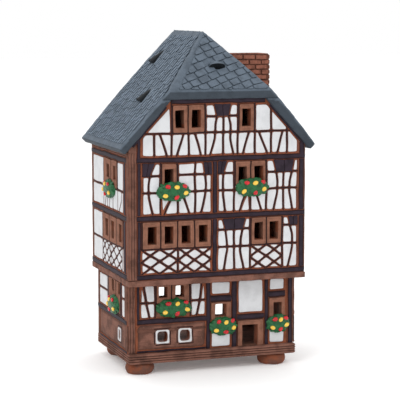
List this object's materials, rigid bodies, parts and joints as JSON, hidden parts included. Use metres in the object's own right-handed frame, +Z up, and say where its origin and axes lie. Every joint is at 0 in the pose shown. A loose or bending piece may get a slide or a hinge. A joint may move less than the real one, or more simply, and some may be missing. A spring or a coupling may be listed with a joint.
{
  "type": "half timbered ceramic candle house",
  "caption": "Hollow clay model of a jettied half-timbered town house with a half-hipped slate roof, lit from inside by a tealight through its cut windows.",
  "frame": {"origin": "centre of the bounding box on the table, under the feet", "axes": "+Z up, gable front faces -Y, +X to the right seen from the front"},
  "size_m": [0.1388, 0.102, 0.23],
  "materials": {
    "white_glaze": "thick warm white engobe pads over scored terracotta, satin",
    "stained_clay": "brown stained, scored bare clay, matt",
    "terracotta": "bare terracotta, matt",
    "slate_engobe": "blue grey engobe over carved slates, matt",
    "flower_green": "gloss green glaze on tooled leaves",
    "timber_engobe": "purple brown painted timber bands, satin",
    "flower_red": "gloss red glaze drops",
    "flower_yellow": "gloss yellow glaze drops"
  },
  "bodies": {
    "root": {"foot_front_left": "terracotta", "foot_front_right": "terracotta", "foot_back_left": "terracotta", "foot_back_right": "terracotta", "plinth": "stained_clay", "ground_wall_front": "white_glaze", "ground_wall_left": "white_glaze", "ground_wall_right": "white_glaze", "ground_pier_back_left": "stained_clay", "ground_pier_back_right": "stained_clay", "ground_lintel_back": "stained_clay", "ground_post_front_left": "stained_clay", "ground_post_front_right": "stained_clay", "ground_post_back_left": "stained_clay", "ground_post_back_right": "stained_clay", "jetty_front": "stained_clay", "jetty_back": "stained_clay", "jetty_left": "stained_clay", "jetty_right": "stained_clay", "storey_a_front": "white_glaze", "storey_b_front": "white_glaze", "gable_front": "white_glaze", "storey_a_back": "white_glaze", "storey_b_back": "white_glaze", "gable_back": "white_glaze", "storey_a_left": "white_glaze", "storey_b_left": "white_glaze", "storey_a_right": "white_glaze", "storey_b_right": "white_glaze", "post_front_left": "stained_clay", "post_front_right": "stained_clay", "post_back_left": "stained_clay", "post_back_right": "stained_clay", "roof_left": "slate_engobe", "roof_right": "slate_engobe", "roof_hip": "slate_engobe", "chimney": "terracotta", "flowers_front_upper": "flower_green", "flowers_front_ground": "flower_green", "flowers_left": "flower_green", "flowers_right": "flower_green"}
  },
  "joints": []
}
